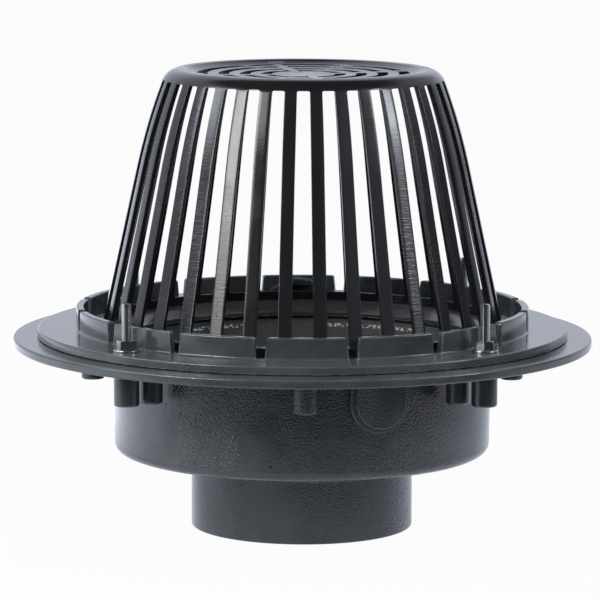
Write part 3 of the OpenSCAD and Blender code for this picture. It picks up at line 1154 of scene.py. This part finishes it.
@dataclass
class DrainBody:
    """The cast body: outlet hub, sump, roof flange, bosses and side pad, in millimetres."""

    outlet_radius: float = 73.0
    outlet_rounding: float = 1.2
    outlet_fillet: float = 3.0
    bore_radius: float = 63.5
    bore_depth: float = 36.0
    throat_radius: float = 51.0
    throat_rounding: float = 4.0
    outlet_height: float = 43.5
    sump_radius: float = 124.75
    draft: float = 0.8
    wall: float = 6.5
    corner_level: float = 50.6
    corner_radius: float = 6.5
    floor_fillet: float = 5.0
    flange_radius: float = 190.5
    flange_underside: float = 121.0
    flange_rounding: float = 1.4
    seat_radius: float = 138.5
    seat_drop: float = 6.2
    haunch: Point2 = (22.0, 10.0)
    # The haunch's curve: how far it is outside the sump, and above its own foot.
    haunch_curve: tuple[Point2, ...] = ((-0.1, 0.0), (0.9, 2.4), (3.0, 5.0), (6.6, 7.2), (12.0, 8.9))
    boss_circle: float = 138.2
    boss_radius: float = 7.7
    boss_end: float = 97.0
    boss_turn: float = 0.85
    boss_rounding: float = 1.6
    boss_fillet: float = 2.2
    bosses: int = 8
    stud_boss_radius: float = 8.2
    stud_boss_end: float = 97.8
    stud_hole_radius: float = 3.2
    pad_radius: float = 17.5
    pad_level: float = 101.0
    pad_turn: float = 23.1
    # The pad and the step round it: how far each is wider than the pad and outside the sump, and its rounding.
    pad_steps: tuple[Point3, ...] = ((3.0, 1.8, 1.4), (0.0, 4.8, 1.6))
    columns: int = 180

    def sump_at(self, level: float) -> float:
        """Outside radius of the sump at a level."""
        return self.sump_radius - (self.flange_underside - level) * math.tan(math.radians(self.draft))

    def section(self) -> list[Point2]:
        """The body's section, right of the axis, counter-clockwise from the outlet's foot."""
        corner, level, bend = self.sump_at(self.corner_level), self.corner_level, self.corner_radius
        width, height = self.haunch
        under, edge = self.flange_underside, self.flange_rounding
        foot, root = self.outlet_rounding, self.outlet_fillet
        wall, fillet, throat = self.wall, self.floor_fillet, self.throat_rounding
        outside = [
            *arc((self.outlet_radius - foot, foot), foot, -90, 0, 4),
            (self.outlet_radius, self.outlet_height - 3.2),
            *arc((self.outlet_radius + root, self.outlet_height - root), root, 180, 97, 5),
            (corner - bend - 2, level - 0.9),
            *arc((corner - bend, level + bend - 0.6), bend, -75, 0, 8),
            (self.sump_at(85), 85),
            *[(self.sump_radius + out, under - height + rise) for out, rise in self.haunch_curve],
            (self.sump_radius + width, under),
            *arc((self.flange_radius - edge, under + edge), edge, -90, 0, 5),
            *arc((self.flange_radius - edge, FLANGE_TOP - edge), edge, 0, 90, 5),
        ]
        inside = [
            (self.seat_radius, FLANGE_TOP),
            (self.sump_radius - wall + 0.8, FLANGE_TOP - self.seat_drop),
            (self.sump_radius - wall, FLANGE_TOP - self.seat_drop - 0.8),
            (corner - wall, level + wall + fillet),
            *arc((corner - wall - fillet, level + wall + fillet), fillet, 0, -84, 6)[1:],
            (self.outlet_radius, self.outlet_height + wall + 0.6),
            *arc((self.throat_radius + throat, self.outlet_height + wall - throat - 0.6), throat, 90, 180, 5),
            (self.throat_radius, self.bore_depth),
            (self.bore_radius, self.bore_depth),
            (self.bore_radius, 0.6),
            (self.bore_radius + 0.6, 0.0),
        ]
        return [*outside, *inside]

    def boss(self, name: str, radius: float, end: float) -> Object:
        """A round boss under the flange, on the axis, with a rounded end and a small fillet at its root."""
        under, rounding, fillet = self.flange_underside, self.boss_rounding, self.boss_fillet
        outline = [
            (0, end),
            *arc((radius - rounding, end + rounding), rounding, -90, 0, 5),
            (radius, under - fillet - 1),
            *arc((radius + fillet, under - fillet), fillet, 180, 90, 4),
            (radius + fillet, under + 1.5),
            (0, under + 1.5),
        ]
        return Bench.lathe(name, outline, steps=48)

    def pad(self, wider: float, proud: float, rounding: float) -> Object:
        """One step of the side pad: a round end below and straight sides above, with soft edges."""
        top = self.flange_underside - 2
        radius, face = self.pad_radius + wider, self.sump_radius + proud
        outline = [*arc((0, self.pad_level), radius, 180, 360, 32), (radius, top), (-radius, top)]
        piece = Bench.prism("pad", outline, self.sump_radius - 5, face)
        Bench.round_edges(piece, rounding, 4, lambda edge: Bench.at_reach(edge, face))
        Bench.turn(piece, self.pad_turn)
        return piece

    def build(self) -> Object:
        """Turns the body, welds bosses and pad on, and drills the stud holes."""
        body = Bench.lathe("drain_body", self.section(), self.columns, CASTING_TURN + 180 / self.columns)
        boss = Bench.set_out(self.boss("boss", self.boss_radius, self.boss_end), self.boss_circle, self.boss_turn)
        stud_boss = self.boss("stud_boss", self.stud_boss_radius, self.stud_boss_end)
        Bench.combine(body, Bench.join([Bench.around(boss, self.bosses), Bench.on_studs(stud_boss)]), "UNION")
        for step in self.pad_steps:
            Bench.combine(body, self.pad(*step), "UNION")
        hole = Bench.lathe("hole", rod(self.stud_hole_radius, self.stud_boss_end + 3.2, FLANGE_TOP + 4), steps=32)
        Bench.combine(body, Bench.on_studs(hole), "DIFFERENCE")
        Bench.tidy(body)
        Bench.smooth(body, angle=32)
        return body


# ---------------------------------------------------------------------------
# Fasteners
# ---------------------------------------------------------------------------


@dataclass
class StudSet:
    """The four studs, with their nuts and washers, in millimetres."""

    crest_radius: float = 3.16
    root_radius: float = 2.66
    pitch: float = 1.27
    # The thread's flanks: share of its depth and share of its pitch, from root to root.
    thread: tuple[Point2, ...] = ((0.0, 0.0), (0.55, 0.22), (1.0, 0.42), (1.0, 0.56), (0.45, 0.80), (0.0, 1.0))
    thread_steps: int = 28
    foot: float = 101.0
    top: float = 163.0
    stud_chamfer: float = 0.9
    washer_radius: float = 8.25
    washer_hole: float = 3.575
    washer_thickness: float = 1.6
    washer_rounding: float = 0.5
    washer_hole_rounding: float = 0.4
    fit: float = 0.04
    nut_rounding: float = 0.14
    nut_flats: float = 11.1
    nut_height: float = 5.6
    # The nut's turned-off corners: how far each point is outside its corners, and from its end.
    nut_corner: tuple[Point2, ...] = ((-0.75, 0.0), (-0.25, 0.22), (0.1, 0.5))
    nut_turns: tuple[float, ...] = (9.0, 7.0, 12.0, 47.0)
    countersink: float = 4.2

    def stud(self) -> Object:
        """A stud with a rolled thread over its whole length and chamfered ends."""
        pitch, root = self.pitch, self.root_radius
        depth = self.crest_radius + 0.02 - root
        start = self.foot - 2 * pitch
        points = [Vector((root + depth * out, 0, start + pitch * rise)) * MM for out, rise in self.thread]
        piece = Bench.draw("stud", points, closed=False)
        Bench.modify(
            piece,
            "SCREW",
            axis="Z",
            angle=FULL_TURN,
            screw_offset=pitch * MM,
            iterations=math.ceil((self.top - self.foot) / pitch) + 3,
            steps=self.thread_steps,
            render_steps=self.thread_steps,
            use_merge_vertices=False,
        )
        with Bench.editing(piece):
            Bench.merge_close(0.01)
            Bench.close_ends(piece)
            Bench.face_outwards()
        blank = [
            (0, self.foot),
            (root - 0.2, self.foot),
            (self.crest_radius, self.foot + self.stud_chamfer),
            (self.crest_radius, self.top - self.stud_chamfer),
            (root - 0.2, self.top),
            (0, self.top),
        ]
        Bench.combine(piece, Bench.lathe("blank", blank, steps=64), "INTERSECT")
        Bench.tidy(piece, 0.004)
        Bench.smooth(piece, angle=40, flat_faces=False)
        return piece

    def nut(self) -> Object:
        """A hexagon nut with turned-off corners and a countersunk hole."""
        corner = self.nut_flats / math.sqrt(3)
        low = RING_TOP + self.washer_thickness
        high = low + self.nut_height
        nut = Bench.plate("nut", arc((0, 0), corner, 0, 300, 5), low, high)
        turned = [
            (0, low),
            *[(corner + out, low + rise) for out, rise in self.nut_corner],
            *[(corner + out, high - rise) for out, rise in reversed(self.nut_corner)],
            (0, high),
        ]
        Bench.combine(nut, Bench.lathe("turned", turned, steps=96), "INTERSECT")
        hole = [
            (0, low - 1),
            (self.countersink, low - 1),
            (self.crest_radius + self.fit, low + 0.5),
            (self.crest_radius + self.fit, high - 0.5),
            (self.countersink, high + 0.5),
            (0, high + 0.5),
        ]
        Bench.combine(nut, Bench.lathe("hole", hole, steps=48), "DIFFERENCE")
        Bench.tidy(nut)
        Bench.round_edges(nut, self.nut_rounding, 2, lambda edge: Bench.is_upright(edge, self.nut_height * 0.5))
        Bench.smooth(nut, angle=25)
        return nut

    def washer(self) -> Object:
        """A stamped flat washer: round upper edge, sharp lower one."""
        low = RING_TOP
        high = low + self.washer_thickness
        rim, edge = self.washer_rounding, self.washer_hole_rounding
        outline = [
            (self.washer_hole + 0.3, low),
            (self.washer_radius - 0.15, low),
            (self.washer_radius, low + 0.15),
            *arc((self.washer_radius - rim, high - rim), rim, 0, 90, 4),
            *arc((self.washer_hole + edge, high - edge), edge, 90, 180, 3),
            (self.washer_hole, low + 0.3),
        ]
        washer = Bench.lathe("washer", outline, steps=64)
        Bench.smooth(washer, angle=35)
        return washer

    def build(self) -> dict[str, Object]:
        """Makes one fastener of each kind and sets copies of it on the studs.

        Returns:
            The pieces by the name of the node that each stands for.
        """
        pieces: dict[str, Object] = {}
        for kind, first in (("stud", self.stud()), ("nut", self.nut()), ("washer", self.washer())):
            for number in range(STUDS):
                name = f"{kind}_{number + 1}"
                piece = Bench.copy(first, name + "_dressed")
                if kind == "nut":
                    Bench.turn(piece, self.nut_turns[number])
                Bench.shift(piece, (STUD_CIRCLE, 0, 0))
                Bench.turn(piece, 180 + FIRST_STUD + CASTING_TURN + number * 360 / STUDS)
                pieces[name] = piece
            bpy.data.objects.remove(first, do_unlink=True)
        return pieces


# ---------------------------------------------------------------------------
# Studio
# ---------------------------------------------------------------------------


@dataclass(frozen=True)
class SoftBox:
    """A soft box: its azimuth from the front, to the right, its distance and level in metres, and its light."""

    name: str
    azimuth: float
    distance: float
    level: float
    size: Point2
    radiance: float
    colour: Point3 = (1.0, 1.0, 1.0)
    mirrored: bool = True


@dataclass
class Studio:
    """Camera, pale floor, soft lamps and a white surround.

    A range is where a level starts and ends, in metres or as part of a direction, and then what it goes between.
    """

    camera_place: Point3 = (-1.66, -2567.2, 514.75)
    camera_drop: float = 8.098
    camera_roll: float = 0.233
    lens: float = 236.06
    aim_level: float = 0.2
    floor_radius: float = 20.0
    floor_drop: float = 0.0002
    floor_matt: Colour = (0.32, 0.32, 0.32, 1.0)
    floor_white: float = 0.96
    front_fade: Range = (-0.48, -0.20, 0.02, 1.0)
    front_left: float = -0.35
    front_ring: Point2 = (0.3, -0.186)
    left_gain: Range = (-0.45, 0.25, 0.75, -0.05)
    near_gain: Range = (0.30, 0.50)
    middle_gain: Range = (0.58, 0.74, 1.5, 1.0)
    base_gain: float = 1.05
    far_right: Range = (0.9, 2.5, 1.0, 0.30)
    tint: Colour = (0.88, 0.93, 1.08, 1.0)
    white: Colour = (1.0, 1.0, 1.0, 1.0)
    surround_level: float = 0.92
    bright_side: Point3 = (-0.755, 0.656, 0.0)
    bright_fade: Range = (0.19, 0.46, 0.13, 1.0)
    right_wall: Range = (0.15, 0.55, 0.0, 0.55)
    right_foot: Range = (0.16, 0.36)
    pale_corner: Point3 = (0.5, 0.866, 0.0)
    corner_fade: Range = (0.93, 0.97, 0.0, 0.85)
    corner_foot: Range = (0.0, 0.055)
    overhead: Range = (0.70, 0.78, 1.0, 0.04)
    boxes: tuple[SoftBox, ...] = (
        SoftBox("key", -49.0, 1.4, 0.93, (0.50, 0.72), 13.5),
        SoftBox("key_foot", -50.0, 1.4, 0.48, (0.40, 0.20), 4.0),
        SoftBox("key_side", -33.0, 1.4, 1.10, (0.26, 0.40), 4.5),
        SoftBox("left_fill", -80.0, 1.4, 1.05, (0.60, 0.62), 6.5, (0.86, 0.91, 1.0)),
        SoftBox("right_box", 70.0, 1.4, 1.05, (0.36, 0.60), 13.5, (0.88, 0.92, 1.0)),
        SoftBox("right_foot", 70.0, 1.4, 0.55, (0.34, 0.40), 1.8, (0.86, 0.91, 1.0)),
        SoftBox("front_top", 0.0, 0.9, 1.5, (0.8, 0.5), 11.0, mirrored=False),
        SoftBox("top_light", 0.0, 0.05, 2.2, (1.2, 1.2), 2.2, mirrored=False),
    )

    def build(self) -> None:
        """Sets the whole studio up."""
        bpy.context.scene.view_settings.view_transform = "Standard"
        self.add_camera()
        self.add_floor()
        self.add_world()
        for box in self.boxes:
            self.add_lamp(box)

    def add_camera(self) -> None:
        """Places the camera: a long lens, a little above the drain."""
        data = bpy.data.cameras.new("camera")
        data.lens = self.lens
        data.clip_start = 0.1
        data.clip_end = 100.0
        camera = bpy.data.objects.new("camera", data)
        bpy.context.scene.collection.objects.link(camera)
        tilt = Matrix.Rotation(math.radians(90 - self.camera_drop), 4, "X")
        roll = Matrix.Rotation(math.radians(self.camera_roll), 4, "Z")
        camera.matrix_world = Matrix.Translation(Vector(self.camera_place) * MM) @ tilt @ roll
        bpy.context.scene.camera = camera

    def add_floor(self) -> None:
        """Lays the floor: white to the eye with the drain's soft shadow on it, darker in front as a mirror sees it."""
        Bench.clear_selection()
        bpy.ops.mesh.primitive_circle_add(
            vertices=64, radius=self.floor_radius, fill_type="NGON", location=(0, 0, -self.floor_drop)
        )
        floor = bpy.context.active_object
        floor.name = "floor"
        material = bpy.data.materials.new("floor")
        material.use_nodes = True
        graph = Graph(material.node_tree)
        rays = graph.add("LightPath").outputs
        where = graph.place()
        x, y, _ = graph.axes(where)
        reach = graph.vector("LENGTH", where)
        leftward = graph.math("MAXIMUM", graph.product(x, self.front_left), 0.0)
        beyond = graph.math("MAXIMUM", graph.math("MULTIPLY_ADD", reach, *self.front_ring), 0.0)
        depth = graph.math("SUBTRACT", graph.math("ADD", y, leftward), beyond)
        gain = graph.product(
            graph.remap(x, *self.left_gain),
            graph.remap(reach, *self.near_gain),
            graph.remap(reach, *self.middle_gain),
        )
        level = graph.product(
            graph.remap(depth, *self.front_fade),
            graph.math("ADD", gain, self.base_gain),
            graph.remap(x, *self.far_right),
        )
        matt = graph.add("BsdfDiffuse", in_Color=self.floor_matt)
        glow = graph.add("Emission", in_Color=self.white, in_Strength=1.0)
        mirrored = graph.add("Emission", in_Color=self.tint, in_Strength=level)
        seen = graph.mix(graph.product(rays["Is Camera Ray"], self.floor_white), matt, glow)
        shader = graph.mix(rays["Is Glossy Ray"], seen, mirrored)
        graph.add("OutputMaterial", in_Surface=shader.outputs[0])
        floor.data.materials.append(material)

    def add_world(self) -> None:
        """Surrounds the drain: white to the eye, bright behind and on the left, dark above and on the camera's side."""
        world = bpy.data.worlds.new("surround")
        bpy.context.scene.world = world
        world.use_nodes = True
        graph = Graph(world.node_tree)
        rays = graph.add("LightPath").outputs
        where = graph.add("TexCoord").outputs["Generated"]
        x, _, z = graph.axes(where)
        walls = graph.remap(graph.vector("DOT_PRODUCT", where, self.bright_side), *self.bright_fade)
        right = graph.product(graph.remap(x, *self.right_wall), graph.remap(z, *self.right_foot))
        behind = graph.remap(graph.vector("DOT_PRODUCT", where, self.pale_corner), *self.corner_fade)
        corner = graph.product(behind, graph.remap(z, *self.corner_foot))
        walls = graph.math("ADD", graph.math("ADD", walls, right), corner, clamp=True)
        level = graph.product(walls, graph.remap(z, *self.overhead), self.surround_level)
        surround = graph.add("Background", in_Color=self.tint, in_Strength=level)
        white = graph.add("Background", in_Color=self.white, in_Strength=1.0)
        shader = graph.mix(rays["Is Camera Ray"], surround, white)
        graph.add("OutputWorld", in_Surface=shader.outputs[0])

    def add_lamp(self, box: SoftBox) -> None:
        """Adds a soft box that faces the drain."""
        data = bpy.data.lights.new(box.name, "AREA")
        data.shape = "RECTANGLE"
        data.size, data.size_y = box.size
        data.color = box.colour
        data.energy = box.radiance * math.pi * box.size[0] * box.size[1]
        lamp = bpy.data.objects.new(box.name, data)
        lamp.visible_glossy = box.mirrored
        bpy.context.scene.collection.objects.link(lamp)
        turn = math.radians(box.azimuth)
        lamp.location = (math.sin(turn) * box.distance, -math.cos(turn) * box.distance, box.level)
        aim = Vector((0, 0, self.aim_level)) - lamp.location
        lamp.rotation_euler = aim.to_track_quat("-Z", "Y").to_euler()


# ---------------------------------------------------------------------------
# The scene
# ---------------------------------------------------------------------------


@dataclass
class RoofDrain:
    """The whole drain: castings, dome and fasteners, each dressed for its node."""

    finishes: Finishes
    ring: ClampRing = field(default_factory=ClampRing)
    dome: DomeStrainer = field(default_factory=DomeStrainer)
    body: DrainBody = field(default_factory=DrainBody)
    fasteners: StudSet = field(default_factory=StudSet)

    def build(self) -> None:
        """Builds every sub-assembly and sets each piece in the place of its node."""
        self.settle(self.body.build(), "drain_body", Finish.COAT)
        self.settle(self.ring.build(), "clamp_ring", Finish.COAT)
        self.settle(self.dome.build(), "dome_strainer", Finish.PLASTIC)
        for node, piece in self.fasteners.build().items():
            self.settle(piece, node, Finish.ZINC)

    def settle(self, piece: Object, node: str, finish: Finish) -> None:
        """Makes a piece ride with the drain in a node's place, with its finish.

        Args:
            piece: The finished piece.
            node: The node that it stands for.
            finish: Its finish.
        """
        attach(piece, BODY)
        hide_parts(node)
        self.finishes.dress(piece, finish)
        LOG.info("%s for %s: %d faces, %s", piece.name, node, len(piece.data.polygons), finish.value)


def main() -> None:
    """Builds the drain and its studio."""
    logging.basicConfig(level=logging.INFO, format="%(name)s: %(message)s")
    Studio().build()
    RoofDrain(Finishes()).build()


if __name__ == "__main__":
    main()
